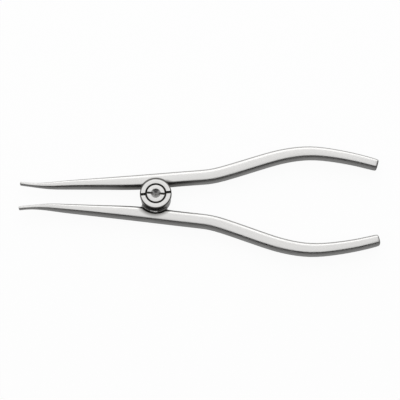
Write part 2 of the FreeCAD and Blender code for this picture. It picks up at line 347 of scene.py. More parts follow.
def draw_outline(name, points, plane):
    """Extrude one vertex from point to point, in millimetres, in the XY or XZ plane."""
    places = [Vector((u, v, 0)) if plane == "XY" else Vector((u, 0, v)) for u, v in points]
    deselect_all()
    bpy.ops.mesh.primitive_plane_add(size=MM)
    piece = bpy.context.object
    piece.name = name
    bpy.ops.object.mode_set(mode="EDIT")
    bpy.ops.mesh.select_mode(type="VERT")
    bpy.ops.mesh.merge(type="CENTER")
    bpy.ops.transform.translate(value=places[0] * MM)
    for here, there in zip(places, places[1:]):
        move = {"value": (there - here) * MM}
        bpy.ops.mesh.extrude_vertices_move(TRANSFORM_OT_translate=move)
    return piece


def spin_outline(name, points):
    """A solid of revolution about the pivot's axis, from half of its section."""
    piece = draw_outline(name, points, "XZ")
    if points[0][0] or points[-1][0]:
        ends = [Vector((points[i][0], 0, points[i][1])) * MM for i in (0, -1)]
        select_in_edit("VERT", lambda v: any((v.co - end).length < SAME_PLACE for end in ends))
        bpy.ops.mesh.edge_face_add()
    bpy.ops.mesh.select_all(action="SELECT")
    bpy.ops.mesh.spin(steps=SPIN_STEPS, angle=2 * math.pi, center=(0, 0, 0), axis=(0, 0, 1))
    bpy.ops.mesh.select_all(action="SELECT")
    bpy.ops.mesh.remove_doubles(threshold=SAME_PLACE)
    face_outwards()
    bpy.ops.object.mode_set(mode="OBJECT")
    return piece


def pad_outline(name, points, low, high, plane="XY"):
    """A plate between two heights, from its plan."""
    piece = draw_outline(name, points, plane)
    normal = Vector((0, 0, 1)) if plane == "XY" else Vector((0, 1, 0))
    bpy.ops.mesh.select_all(action="SELECT")
    bpy.ops.mesh.edge_face_add()
    bpy.ops.transform.translate(value=normal * low * MM)
    move = {"value": normal * (high - low) * MM}
    bpy.ops.mesh.extrude_region_move(TRANSFORM_OT_translate=move)
    face_outwards()
    bpy.ops.object.mode_set(mode="OBJECT")
    return piece


def pin(name, centre, radius, low, high):
    """A plain round bar standing at a point of the plan."""
    return pad_outline(name, arc(centre, radius, 0, 360, SPIN_STEPS)[:-1], low, high)


trial_pin = pin("trial_pin", (0, 0), 1.0, 0, 2)
describe(trial_pin)
bpy.data.objects.remove(trial_pin)

# %% [markdown]
# ## The arms
#
# Each arm is one forging: a fine beak, half of the lap joint and a long bowed handle. It is
# a bar whose section changes all the way, so it is extruded from tip to heel through a few
# stations and then smoothed by subdivision. Smoothing pulls a surface a little inside its
# cage, so the cage is first pushed out until the smooth bar passes through the stations.
# Both arms are the same bar, and only their distance from the middle line differs a little.

# %% Stations of an arm
# From tip to heel: x, distance of the centre line from the middle line, width, thickness.
STATIONS = [
    (-53.1, 5.15, 1.25, 2.3), (-48.5, 4.62, 1.38, 2.25), (-43.5, 4.42, 2.0, 3.1),
    (-39.3, 4.56, 2.55, 3.9), (-35.0, 4.85, 2.95, 4.45), (-27.5, 5.3, 3.55, 4.9),
    (-20.0, 5.72, 4.2, 5.05), (-6.0, 6.6, 5.3, 5.24), (8.0, 8.08, 5.3, 5.24),
    (18.0, 9.1, 5.35, 5.3), (26.0, 10.8, 5.4, 5.3), (40.0, 15.6, 5.35, 5.25),
    (50.0, 18.65, 5.2, 5.2), (60.0, 20.0, 4.95, 5.15), (70.0, 19.15, 4.6, 5.1),
    (78.6, 17.5, 4.35, 5.05), (86.6, 15.4, 4.2, 5.0)]
EYE_STACK = 5.4
PIVOT_SHIFT = 0.5
FITTING_ROUNDS = 12


def cage_rows(stations):
    """Rows of the cage whose smoothed surface passes through the stations."""
    rows = [list(station) for station in stations]
    for _ in range(FITTING_ROUNDS):
        for i in range(1, len(rows) - 1):
            for k in range(4):
                smooth = (rows[i - 1][k] + 4 * rows[i][k] + rows[i + 1][k]) / 6
                rows[i][k] += stations[i][k] - smooth
    return rows


CAGE = cage_rows(STATIONS)
FARTHEST = max(station[1] for station in STATIONS)
CAGE_FARTHEST = max(row[1] for row in CAGE)
print(f"farthest from the middle line: arm {FARTHEST} mm, cage {CAGE_FARTHEST:.2f} mm")

# %% Sections with their ends rounded
TIP_ROUND = 0.35
HEEL_ROUND = 1.0
# Places along an end's round and how far the section has shrunk there, in shares of the round.
END_STEPS = [(-1.0, 0), (-0.3, 0.2), (0, 0.75)]


def direction_at(i):
    """Direction of the arm's run at a row of the cage, in the XY plane."""
    before, after = CAGE[max(i - 1, 0)], CAGE[min(i + 1, len(CAGE) - 1)]
    return math.atan2(after[1] - before[1], after[0] - before[0])


def rounded_end(section, outwards, radius):
    """The last section of a bar, replaced by a few that shrink towards its end."""
    centre, width, thick, turn = section
    reach = radius * outwards
    run = Vector((math.cos(turn), math.sin(turn), 0)) * reach
    return [(centre + run * along, width - 2 * radius * inset, thick - 2 * radius * inset, turn)
            for along, inset in END_STEPS]


def section_loops(shift):
    """Centre, width, thickness and turn of each loop to extrude, ends included."""
    loops = []
    for i, (x, reach, width, thick) in enumerate(CAGE):
        centre = Vector((x, reach + shift, EYE_STACK / 2))
        loops.append((centre, width, thick, direction_at(i)))
    tip = rounded_end(loops[0], -1, TIP_ROUND)
    heel = rounded_end(loops[-1], 1, HEEL_ROUND)
    return tip[::-1] + loops[1:-1] + heel


print("loops per arm:", len(section_loops(0)))

# %% Extrude the bars
CORNER_SHARE = 0.19
CROWN_SHARE = 0.006
SMOOTH_LEVELS = 2
# On the unit square: a side lies beyond the first of these, and its middle within the second.
SIDE = 0.49
MIDDLE = 0.2


def add_section():
    """A unit square standing across X, its corners cut and its sides slightly crowned."""
    deselect_all()
    bpy.ops.mesh.primitive_plane_add(size=1, rotation=(0, math.radians(90), 0))
    bpy.ops.object.transform_apply(rotation=True)
    bpy.ops.object.mode_set(mode="EDIT")
    bpy.ops.mesh.select_all(action="SELECT")
    bpy.ops.mesh.bevel(offset=CORNER_SHARE, segments=1, affect="VERTICES")
    select_in_edit("EDGE", lambda edge: edge.calc_length() > 0.5)
    bpy.ops.mesh.subdivide(number_cuts=2)
    crown = 1 + 2 * CROWN_SHARE
    select_in_edit("VERT", lambda v: abs(v.co.y) > SIDE and abs(v.co.z) < MIDDLE)
    bpy.ops.transform.resize(value=(1, crown, 1), center_override=(0, 0, 0))
    select_in_edit("VERT", lambda v: abs(v.co.z) > SIDE and abs(v.co.y) < MIDDLE)
    bpy.ops.transform.resize(value=(1, 1, crown), center_override=(0, 0, 0))
    select_in_edit("FACE", lambda face: True)


def shape_section(centre, width, thick, turn, unturn):
    """Turn the selected loop back square to X, resize it and turn it to the arm's run."""
    bpy.ops.transform.rotate(value=unturn, orient_axis="Z", center_override=centre)
    bpy.ops.transform.resize(value=(1, width, thick), center_override=centre)
    bpy.ops.transform.rotate(value=-turn, orient_axis="Z", center_override=centre)


def extrude_bar(name, shift):
    """The arm's bar, from tip to heel, with no joint in it yet."""
    add_section()
    bar = bpy.context.object
    bar.name = name
    loops = section_loops(shift)
    centre, width, thick, turn = loops[0]
    bpy.ops.transform.translate(value=centre * MM)
    shape_section(centre * MM, width * MM, thick * MM, turn, 0)
    for before, after in zip(loops, loops[1:]):
        move = {"value": (after[0] - before[0]) * MM}
        bpy.ops.mesh.extrude_region_move(TRANSFORM_OT_translate=move)
        wider, thicker = after[1] / before[1], after[2] / before[2]
        shape_section(after[0] * MM, wider, thicker, after[3], before[3])
    face_outwards()
    bpy.ops.object.mode_set(mode="OBJECT")
    apply_modifier(bar, "SUBSURF", levels=SMOOTH_LEVELS, render_levels=SMOOTH_LEVELS)
    return bar


upper_forging = extrude_bar("upper_forging", -PIVOT_SHIFT)
lower_forging = extrude_bar("lower_forging", PIVOT_SHIFT)
for forging in (upper_forging, lower_forging):
    describe(forging)

# %% [markdown]
# ## The lap joint
#
# At the pivot each forging is cut to half its thickness, with a round shoulder that clears
# the other arm's eye, and carries an eye of its own. The cutter for the shoulder is turned;
# its curved side leaves the shoulder's soft outer edge. The eye is a disc with a web that
# runs into the arm by a fillet on each side. Both arms are made with the eye to the front,
# and the lower one is turned over at the end.

# %% Half-laps and shoulders
# The eyes leave a small gap between them, and each stands a little proud of its bar.
LAP_GAP = 0.06
EYE_STAND = 0.08
EYE_RADIUS = 5.8
SHOULDER_CLEARANCE = 0.85
SHOULDER_RADIUS = EYE_RADIUS + SHOULDER_CLEARANCE
SHOULDER_ROUND = 1.5
SHOULDER_STEPS = 10
EYE_FLOOR = (EYE_STACK + LAP_GAP) / 2
SPARE = 1.0


def shoulder_cutter():
    """What the half-lap and its rounded shoulder leave out of the bar."""
    rim = SHOULDER_RADIUS + SHOULDER_ROUND
    centre = (rim, EYE_STAND + SHOULDER_ROUND)
    side = arc(centre, SHOULDER_ROUND, -90, -180, SHOULDER_STEPS)
    outline = [(0, -SPARE), (rim, -SPARE)] + side + [(SHOULDER_RADIUS, EYE_FLOOR), (0, EYE_FLOOR)]
    return spin_outline("shoulder_cutter", outline)


for forging in (upper_forging, lower_forging):
    combine(forging, shoulder_cutter(), "DIFFERENCE")
    describe(forging)

# %% Eyes and their webs
EYE_EDGE = 0.15
UPPER_WEB_ROUND = 0.7
LOWER_WEB_ROUND = 2.0
# A web goes this far into the arm, and an eye this far past the face that it joins.
WEB_BITE = 0.3
CUT_SPARE = 0.02


def web_centre(index, shift, web_round):
    """Centre of the fillet between the eye and the arm's inner edge at a station."""
    x, reach, width, _ = STATIONS[index]
    height = reach + shift - width / 2 + WEB_BITE - web_round
    away = math.sqrt((EYE_RADIUS + web_round) ** 2 - height ** 2)
    return (math.copysign(away, x), height)


def eye_plate(shift, web_round):
    """The eye: a turned disc, and a web whose two sides are fillets into the arm."""
    front = [i for i, station in enumerate(STATIONS) if station[0] < 0][-1]
    left = web_centre(front, shift, web_round)
    right = web_centre(front + 1, shift, web_round)
    floor = EYE_FLOOR - CUT_SPARE
    disc = [(0, floor), (EYE_RADIUS, floor), (EYE_RADIUS, EYE_STACK), (0, EYE_STACK)]
    eye = spin_outline("eye", round_corners(disc, {1: EYE_EDGE, 2: EYE_EDGE}))
    outline = [left, right, (right[0], right[1] + web_round), (left[0], left[1] + web_round)]
    web = pad_outline("web", outline, floor + CUT_SPARE / 2, EYE_STACK - EYE_STAND)
    for corner in (left, right):
        combine(web, pin("fillet", corner, web_round, 0, EYE_STACK + SPARE), "DIFFERENCE")
    combine(eye, web, "UNION")
    return eye


combine(upper_forging, eye_plate(-PIVOT_SHIFT, UPPER_WEB_ROUND), "UNION")
combine(lower_forging, eye_plate(PIVOT_SHIFT, LOWER_WEB_ROUND), "UNION")
for forging in (upper_forging, lower_forging):
    describe(forging)

# %% [markdown]
# The front eye is bored for the collar's bush and the rear eye for the screw's thread. A
# small notch across each tip leads the wire. Both are plain cuts, so a pin and a bar do
# them.

# %% Bores and tip notches
BUSH_RADIUS = 2.89
BUSH_CLEARANCE = 0.01
THREAD_RADIUS = 1.75
NOTCH_WIDTH = 0.5
NOTCH_DEPTH = 0.6


def notch_bar():
    """A bar that crosses a tip, from the middle line to well past the tip."""
    outer, inner = STATIONS[0][0] - SPARE, STATIONS[0][0] + NOTCH_DEPTH
    low, high = (EYE_STACK - NOTCH_WIDTH) / 2, (EYE_STACK + NOTCH_WIDTH) / 2
    outline = [(outer, low), (inner, low), (inner, high), (outer, high)]
    return pad_outline("notch_bar", outline, 0, STATIONS[0][1] * 2, "XZ")


BORES = [(upper_forging, BUSH_RADIUS + BUSH_CLEARANCE), (lower_forging, THREAD_RADIUS)]
for forging, bore_radius in BORES:
    combine(forging, pin("bore", (0, 0), bore_radius, -SPARE, EYE_STACK + SPARE), "DIFFERENCE")
    combine(forging, notch_bar(), "DIFFERENCE")
    describe(forging)

# %% [markdown]
# A polishing belt runs along the arm, and its lines bend with it. The steel will need each
# point's place along, across and up the arm, so it is stored on the mesh as an attribute
# while the arm still lies as it was drawn.

# %% The run of the arms
def centre_at(x):
    """Distance of the arm's centre line from the middle line, smooth between stations."""
    i = min(max(sum(x > station[0] for station in STATIONS) - 1, 1), len(STATIONS) - 3)
    (xa, ya), (xb, yb), (xc, yc), (xd, yd) = [station[:2] for station in STATIONS[i - 1:i + 3]]
    run, rise, share = xc - xb, yc - yb, (x - xb) / (xc - xb)
    leave, arrive = (yc - ya) / (xc - xa) * run, (yd - yb) / (xd - xb) * run
    square = 3 * rise - 2 * leave - arrive
    cube = leave + arrive - 2 * rise
    return yb + share * leave + share ** 2 * square + share ** 3 * cube


def write_run(arm, shift):
    """Store each vertex's place along, across and up the arm, in millimetres."""
    places = []
    for vertex in arm.data.vertices:
        x, y, z = vertex.co / MM
        places += [x, y - centre_at(x) - shift, z]
    run = arm.data.attributes.new("run", "FLOAT_VECTOR", "POINT")
    run.data.foreach_set("vector", places)


write_run(upper_forging, -PIVOT_SHIFT)
write_run(lower_forging, PIVOT_SHIFT)
print("centre line at the pivot:", round(centre_at(0), 2), "mm")

# %% Turn the lower arm over and smooth both
SMOOTH_ANGLE = math.radians(35)


def turn_over(arm):
    """Turn an arm over about the X axis, eye to the rear."""
    pick_object(arm)
    bpy.ops.transform.rotate(value=math.pi, orient_axis="X", center_override=(0, 0, 0))
    bpy.ops.transform.translate(value=(0, 0, EYE_STACK * MM))
    bpy.ops.object.transform_apply(location=True, rotation=True)


def finish_mesh(piece):
    """Smooth the soft curves and keep the real corners."""
    pick_object(piece)
    bpy.ops.object.shade_smooth_by_angle(angle=SMOOTH_ANGLE)
    apply_modifier(piece, "WEIGHTED_NORMAL", keep_sharp=True)
    describe(piece)


turn_over(lower_forging)
finish_mesh(upper_forging)
finish_mesh(lower_forging)

# %% [markdown]
# ## The collar and the screw
#
# Both are turned on a lathe and then slotted. The collar is a cup whose bush lines the
# front eye, and two narrow slots in its rim hold the ends of a wire. The screw goes through
# it: a slotted head with a dimple, a smooth shank and a threaded end in the rear eye. An
# edge fresh from the lathe or the saw is broken with a file, so a tiny bevel comes last.

# %% Slots
COLLAR_HEIGHT = 1.8
COLLAR_TOP = EYE_STACK + COLLAR_HEIGHT
WIRE_SLOT = {"width": 1.1, "depth": 1.25, "turn": math.radians(6.3)}
DRIVER_SLOT = {"width": 0.9, "depth": 0.75, "turn": math.radians(-3.2)}


def slot_bar(width, depth, turn):
    """A bar across the pivot that cuts a slot down from the collar's top."""
    half_length, half_width = EYE_RADIUS + SPARE, width / 2
    outline = [(-half_length, -half_width), (half_length, -half_width),
               (half_length, half_width), (-half_length, half_width)]
    bar = pad_outline("slot_bar", outline, COLLAR_TOP - depth, COLLAR_TOP + SPARE)
    pick_object(bar)
    bpy.ops.transform.rotate(value=-turn, orient_axis="Z", center_override=(0, 0, 0))
    bpy.ops.object.transform_apply(rotation=True)
    return bar


print("wire slot", WIRE_SLOT["width"], "mm wide, driver slot", DRIVER_SLOT["width"], "mm wide")

# %% Collar
COLLAR_OVERHANG = 0.35
COLLAR_RADIUS = EYE_RADIUS + COLLAR_OVERHANG
CUP_RADIUS = 3.92
CUP_FLOOR_THICKNESS = 0.4
CUP_FLOOR = EYE_STACK + CUP_FLOOR_THICKNESS
SHANK_RADIUS = 2.0
RUNNING_GAP = 0.04
# Rounds at the collar's foot, its outer edge, its lip and the bottom of its cup, by corner.
COLLAR_ROUNDS = {3: 0.25, 4: 0.35, 5: 0.16, 6: 0.1}


def turn_collar():
    """The slotted collar: a bush below and a cup above."""
    bore = SHANK_RADIUS + RUNNING_GAP
    outline = [(bore, EYE_FLOOR), (BUSH_RADIUS, EYE_FLOOR), (BUSH_RADIUS, EYE_STACK),
               (COLLAR_RADIUS, EYE_STACK), (COLLAR_RADIUS, COLLAR_TOP), (CUP_RADIUS, COLLAR_TOP),
               (CUP_RADIUS, CUP_FLOOR), (bore, CUP_FLOOR)]
    collar = spin_outline("slotted_collar", round_corners(outline, COLLAR_ROUNDS))
    combine(collar, slot_bar(**WIRE_SLOT), "DIFFERENCE")
    return collar


slotted_collar = turn_collar()
describe(slotted_collar)

# %% Screw
HEAD_RADIUS = 3.58
HEAD_CLEAR = 0.05
DIMPLE_RADIUS = 1.95
DIMPLE_DEPTH = 1.5
DRILL_TIP = 0.2
# Rounds at the thread's end, the head's edge and the dimple's lip, by corner.
SCREW_ROUNDS = {1: 0.3, 6: 0.16, 7: 0.1}


def turn_screw():
    """The pivot screw: thread, shank and slotted head with a dimple."""
    under = CUP_FLOOR + HEAD_CLEAR
    step = EYE_STACK - EYE_FLOOR
    bottom = COLLAR_TOP - DIMPLE_DEPTH
    outline = [(0, 0), (THREAD_RADIUS, 0), (THREAD_RADIUS, step), (SHANK_RADIUS, step),
               (SHANK_RADIUS, under), (HEAD_RADIUS, under), (HEAD_RADIUS, COLLAR_TOP),
               (DIMPLE_RADIUS, COLLAR_TOP), (DRILL_TIP, bottom), (0, bottom)]
    screw = spin_outline("shouldered_screw", round_corners(outline, SCREW_ROUNDS))
    combine(screw, slot_bar(**DRIVER_SLOT), "DIFFERENCE")
    return screw


shouldered_screw = turn_screw()
describe(shouldered_screw)

# %% Break the sharp edges
BREAK_EDGE = 0.04
EDGE_BREAK = {"width": BREAK_EDGE * MM, "segments": 2, "limit_method": "ANGLE",
              "angle_limit": math.radians(50)}

for turned in (slotted_collar, shouldered_screw):
    apply_modifier(turned, "BEVEL", **EDGE_BREAK)
    finish_mesh(turned)

# %% [markdown]
# ## Steel, and what has touched it
#
# Stainless steel is one metal, and its finishes tell the pieces apart. All of it has been
# polished, cut or handled, and each of these leaves its own trace: grain, rings, stray
# scratches, haze and worn edges. Where two surfaces meet, a painted shade darkens the crevice.
# A trace could be painted on each piece, but it would then have to be painted again after
# every change of shape. Here each trace, and the painted crevice shade, is a node group that
# works itself out from the surface, built once and placed in each material with its own values.

# %% Helpers for shading
def spread(tree, value, start, end, first=0.0, last=1.0):
    """A smooth change from first to last while a value goes from start to end, held beyond."""
    inputs = {"Value": value, "From Min": start, "From Max": end, "To Min": first, "To Max": last}
    return add_node(tree, "MapRange", inputs, interpolation_type="SMOOTHSTEP").outputs[0]


def mix_colour(tree, share, first, second):
    """The output of a colour mix."""
    return add_node(tree, "Mix", {0: share, 6: first, 7: second}, data_type="RGBA").outputs[2]


def turned_to(tree, normal, axis):
    """How far a normal points along X, Y or Z, given as 0, 1 or 2."""
    return add_node(tree, "SeparateXYZ", {0: normal}).outputs[axis]


def from_axis(tree, place, centre=(0, 0, 0)):
    """Distance of a place from an upright line, and its offset across and up."""
    offset = add_node(tree, "VectorMath", {0: place, 1: centre}, operation="SUBTRACT").outputs[0]
    parts = add_node(tree, "SeparateXYZ", {0: offset}).outputs
    flat = add_node(tree, "CombineXYZ", {0: parts[0], 1: parts[1]}).outputs[0]
    radius = add_node(tree, "VectorMath", {0: flat}, operation="LENGTH").outputs["Value"]
    return radius, parts[1], parts[2]


SHADING_HELPERS = (spread, mix_colour, turned_to, from_axis)
print("helpers for shading:", [helper.__name__ for helper in SHADING_HELPERS])

# %% Helpers for groups
def start_group(name, inputs, output):
    """An empty node group with named sockets, its inputs and its output."""
    tree = bpy.data.node_groups.new(name, "ShaderNodeTree")
    for label, kind in inputs.items():
        tree.interface.new_socket(label, in_out="INPUT", socket_type="NodeSocket" + kind)
    tree.interface.new_socket(output, in_out="OUTPUT", socket_type="NodeSocketFloat")
    given = tree.nodes.new("NodeGroupInput").outputs
    return tree, given, tree.nodes.new("NodeGroupOutput").inputs


def place_group(tree, group, inputs):
    """The output of a group placed in a material."""
    return add_node(tree, "Group", inputs, node_tree=group).outputs[0]


print("helpers for groups:", start_group.__name__, place_group.__name__)

# %% Belt grain
def build_belt_grain():
    """Fine lines left by a polishing belt: noise stretched along the run."""
    sockets = {"Run": "Vector", "Stretch": "Vector"}
    tree, given, result = start_group("belt_grain", sockets, "Grain")
    stretch = {0: given["Run"], 1: given["Stretch"]}
    place = add_node(tree, "VectorMath", stretch, operation="MULTIPLY").outputs[0]
    noise = {"Vector": place, "Scale": 1.0, "Detail": 4.0, "Roughness": 0.65}
    tree.links.new(add_node(tree, "TexNoise", noise).outputs["Fac"], result["Grain"])
    return tree


BELT_GRAIN = build_belt_grain()
print(BELT_GRAIN.name, "has", len(BELT_GRAIN.nodes), "nodes")

# %% Rings from the lathe
def build_turned_rings():
    """Rings left by a lathe tool: noise that changes only with radius and height."""
    sockets = {"Place": "Vector", "Fineness": "Float"}
    tree, given, result = start_group("turned_rings", sockets, "Rings")
    radius, _, up = from_axis(tree, given["Place"])
    section = add_node(tree, "CombineXYZ", {0: radius, 1: up}).outputs[0]
    noise = {"Vector": section, "Scale": given["Fineness"], "Detail": 3.0, "Roughness": 0.6}
    tree.links.new(add_node(tree, "TexNoise", noise).outputs["Fac"], result["Rings"])
    return tree


TURNED_RINGS = build_turned_rings()
print(TURNED_RINGS.name, "has", len(TURNED_RINGS.nodes), "nodes")

# %% Stray scratches
SCRATCH_TURNS = (0.4, 1.5, 2.5)
SCRATCH_TILT = (0.2, 0.3)
SCRATCH_STRETCH = (0.12, 1.7, 1.7)
SCRATCH_SPACING = 9
PATCH_SCALE = 0.21
PATCH_GROWTH = 0.05
PATCH_EDGE = (0.52, 0.64)


def scratch_layer(tree, given, turn):
    """Level lines of stretched noise in one direction, kept in a few patches."""
    inputs = {"Vector": given["Place"], "Rotation": (*SCRATCH_TILT, turn),
              "Scale": SCRATCH_STRETCH, "Location": (turn * SCRATCH_SPACING, 0, 0)}
    turned = add_node(tree, "Mapping", inputs).outputs[0]
    wander = add_node(tree, "TexNoise", {"Vector": turned, "Scale": 1.0, "Detail": 1.0})
    level = compute(tree, "ABSOLUTE", compute(tree, "SUBTRACT", wander.outputs["Fac"], 0.5))
    line = spread(tree, level, given["Width"], 0.0)
    cloud = {"Vector": given["Place"], "Scale": PATCH_SCALE + PATCH_GROWTH * turn, "Detail": 0.0}
    patch = add_node(tree, "TexNoise", cloud)
    return compute(tree, "MULTIPLY", line, spread(tree, patch.outputs["Fac"], *PATCH_EDGE))


def build_marks():
    """Stray scratches in a few directions."""
    sockets = {"Place": "Vector", "Width": "Float"}
    tree, given, result = start_group("handling_marks", sockets, "Marks")
    marks, *others = [scratch_layer(tree, given, turn) for turn in SCRATCH_TURNS]
    for scratches in others:
        marks = compute(tree, "MAXIMUM", marks, scratches)
    tree.links.new(marks, result["Marks"])
    return tree


HANDLING_MARKS = build_marks()
print(HANDLING_MARKS.name, "has", len(HANDLING_MARKS.nodes), "nodes")

# %% Haze from fingers and cloths
HAZE_EDGE = (0.35, 0.65)


def build_haze():
    """Hazy patches where fingers and cloths have been."""
    sockets = {"Place": "Vector", "Size": "Float"}
    tree, given, result = start_group("finger_haze", sockets, "Haze")
    scale = compute(tree, "DIVIDE", 1.0, given["Size"])
    noise = {"Vector": given["Place"], "Scale": scale, "Detail": 3.0, "Distortion": 0.6}
    cloud = add_node(tree, "TexNoise", noise).outputs["Fac"]
    tree.links.new(spread(tree, cloud, *HAZE_EDGE), result["Haze"])
    return tree


FINGER_HAZE = build_haze()
print(FINGER_HAZE.name, "has", len(FINGER_HAZE.nodes), "nodes")

# %% Painted crevice shade and worn edges
OPEN_SPACE_SAMPLES = 12
# Share of open space at which the painted crevice shade sets in, and at which it is full.
CREVICE_SHADE_EDGE = (0.8, 0.25)
WEAR_RANGE = 0.06


def build_painted_crevice_shade():
    """Painted shade where two surfaces meet: little open space within reach of the spot."""
    tree, given, result = start_group("painted_crevice_shade", {"Reach": "Float"}, "Shade")
    reach = {"Distance": given["Reach"]}
    space = add_node(tree, "AmbientOcclusion", reach, samples=OPEN_SPACE_SAMPLES)
    tree.links.new(spread(tree, space.outputs["AO"], *CREVICE_SHADE_EDGE), result["Shade"])
    return tree


def build_worn_edges():
    """Edges rubbed bright: where the surface turns sharply outwards."""
    tree, given, result = start_group("worn_edges", {"Start": "Float"}, "Wear")
    sharpness = add_node(tree, "NewGeometry").outputs["Pointiness"]
    end = compute(tree, "ADD", given["Start"], WEAR_RANGE)
    tree.links.new(spread(tree, sharpness, given["Start"], end), result["Wear"])
    return tree


PAINTED_CREVICE_SHADE = build_painted_crevice_shade()
WORN_EDGES = build_worn_edges()
print("node groups:", [group.name for group in bpy.data.node_groups])

# %% Colours and the start and end of a steel
POLISHED = (0.66, 0.655, 0.645, 1)
# Grey of belt streaks and lathe rings; on the arms' flanks and in the turned pieces' recesses it is
# painted shade.
GRAIN_AND_SHADE_GREY = (0.215, 0.213, 0.21, 1)
# Painted shade near the joint, along the seams, at the heel, and on the turned pieces' walls, slot
# floors and lips.
PAINTED_SHADE_TONE = (0.1, 0.097, 0.093, 1)
# Painted shade in crevices, where two surfaces meet.
CREVICE_SHADE_TONE = (0.035, 0.033, 0.03, 1)
BRIGHT = (0.8, 0.795, 0.785, 1)
# Values of noise between which most of it lies.
NOISE_BAND = (0.3, 0.7)
HAZE_DULLS = 0.06
SCRATCH_DEPTH = 0.0015


def start_steel(name):
    """A metal, its node tree and shader, and the place in millimetres and the normal on it."""
    material = bpy.data.materials.new(name)
    material.use_nodes = True
    tree = material.node_tree
    shader = tree.nodes["Principled BSDF"]
    shader.inputs["Metallic"].default_value = 1
    spot = add_node(tree, "TexCoord").outputs
    scale = {0: spot["Object"], 1: (1 / MM,) * 3}
    place = add_node(tree, "VectorMath", scale, operation="MULTIPLY").outputs[0]
    return material, tree, shader, place, spot["Normal"]


def lay_tones(tree, base, layers):
    """A colour with others laid over it, each by a mask and its strength."""
    tone = base
    for mask, strength, colour in layers:
        tone = mix_colour(tree, compute(tree, "MULTIPLY", mask, strength), tone, colour)
    return tone


def finish_steel(tree, shader, tone, roughness, height):
    """Connect a colour, a roughness and a height in millimetres to the shader."""
    tree.links.new(tone, shader.inputs["Base Color"])
    tree.links.new(roughness, shader.inputs["Roughness"])
    bump = add_node(tree, "Bump", {"Height": height, "Strength": 1.0, "Distance": MM})
    tree.links.new(bump.outputs["Normal"], shader.inputs["Normal"])


print("polished steel:", POLISHED[:3], "grain and shade grey:", GRAIN_AND_SHADE_GREY[:3], "film:", CREVICE_SHADE_TONE[:3])

# %% [markdown]
# The belt reaches the arms' faces and only part of the flanks, so the flanks stay dull, and
# their colour is painted darker as a painted dark reflection. Near the joint the faces close
# to the collar and the flanks that look at the other arm get painted shade, found from the
# pivot's axis.

# %% Painted shade on the arms
# Centre of a painted shade, the distance from it where the shade sets in and where it is full.
SHADE_BELOW = ((-0.2, -1.0, 0), 8.7, 6.2)
SHADE_BESIDE = ((3.5, 0, 0), 6.8, 5.4)
SHADE_BEHIND = ((0, 0.6, 0), 6.7, 6.35)
# Where the painted shades below and beside set in and are full across the pivot, and all of them up.
BELOW_ACROSS = (-1.0, -3.0)
BESIDE_ACROSS = (1.0, 2.0)
FRONT_HEIGHT = (3.4, 4.2)
# The same for the painted shade on an inner flank: its normal's turn from the middle line,
# which is below zero where it looks at the other arm, and its distance from the pivot.
INNER_TURN = (-0.3, -0.7)
INNER_REACH = (20.0, 9.0)
# The painted dark line along the seam lies between these turns of the surface, from flank to face.
SEAM_FLANK = (0.4, 0.6)
SEAM_FACE = (0.9, 0.75)
# The heel's cut end is square to this direction along and across the run.
HEEL_DIRECTION = (1.034, -0.254, 0)
# Painted shade on the heel sets in and is full between these distances along the run.
HEEL_ALONG = (88.9, 89.3)


def shade_round(tree, place, centre, start, full):
    """A painted shade that sets in at one distance from an upright line and is full at another."""
    distance, _, _ = from_axis(tree, place, centre)
    return spread(tree, distance, start, full)


def shaded_faces_near_collar(tree, place):
    """Painted shade on the front faces close to the collar."""
    _, across, up = from_axis(tree, place)
    below = shade_round(tree, place, *SHADE_BELOW)
    below = compute(tree, "MULTIPLY", below, spread(tree, across, *BELOW_ACROSS))
    beside = shade_round(tree, place, *SHADE_BESIDE)
    beside = compute(tree, "MULTIPLY", beside, spread(tree, across, *BESIDE_ACROSS))
    behind = shade_round(tree, place, *SHADE_BEHIND)
    dark = compute(tree, "MAXIMUM", compute(tree, "MAXIMUM", below, beside), behind)
    return compute(tree, "MULTIPLY", dark, spread(tree, up, *FRONT_HEIGHT))


def shaded_inner_flanks(tree, place, normal):
    """Painted shade on flanks that look at the other arm, strongest at the joint."""
    radius, side, _ = from_axis(tree, place)
    turn = compute(tree, "MULTIPLY", turned_to(tree, normal, 1), compute(tree, "SIGN", side))
    inner = spread(tree, turn, *INNER_TURN)
    return compute(tree, "MULTIPLY", inner, spread(tree, radius, *INNER_REACH))


def painted_seam_line(tree, upright):
    """A painted dark line where a face turns into a flank."""
    line = spread(tree, upright, *SEAM_FLANK)
    return compute(tree, "MULTIPLY", line, spread(tree, upright, *SEAM_FACE))


def shaded_heel_end(tree, run):
    """Painted shade on the cut end of the handle."""
    along = add_node(tree, "VectorMath", {0: run, 1: HEEL_DIRECTION}, operation="DOT_PRODUCT")
    return spread(tree, along.outputs["Value"], *HEEL_ALONG)


print("dark inner flanks reach", INNER_REACH[0], "mm from the pivot")

# %% Steel of the arms
GRAIN_STRETCH = (0.35, 9.0, 9.0)
STREAK_STRETCH = (0.05, 1.1, 1.1)
GRAIN_DEPTH = 0.002
# How upright the normal is on a face's last bit and on a full flank.
FLANK_TURN = (0.86, 0.4)
FACE_ROUGHNESS = (0.24, 0.32)
FLANK_DULLS = 0.2


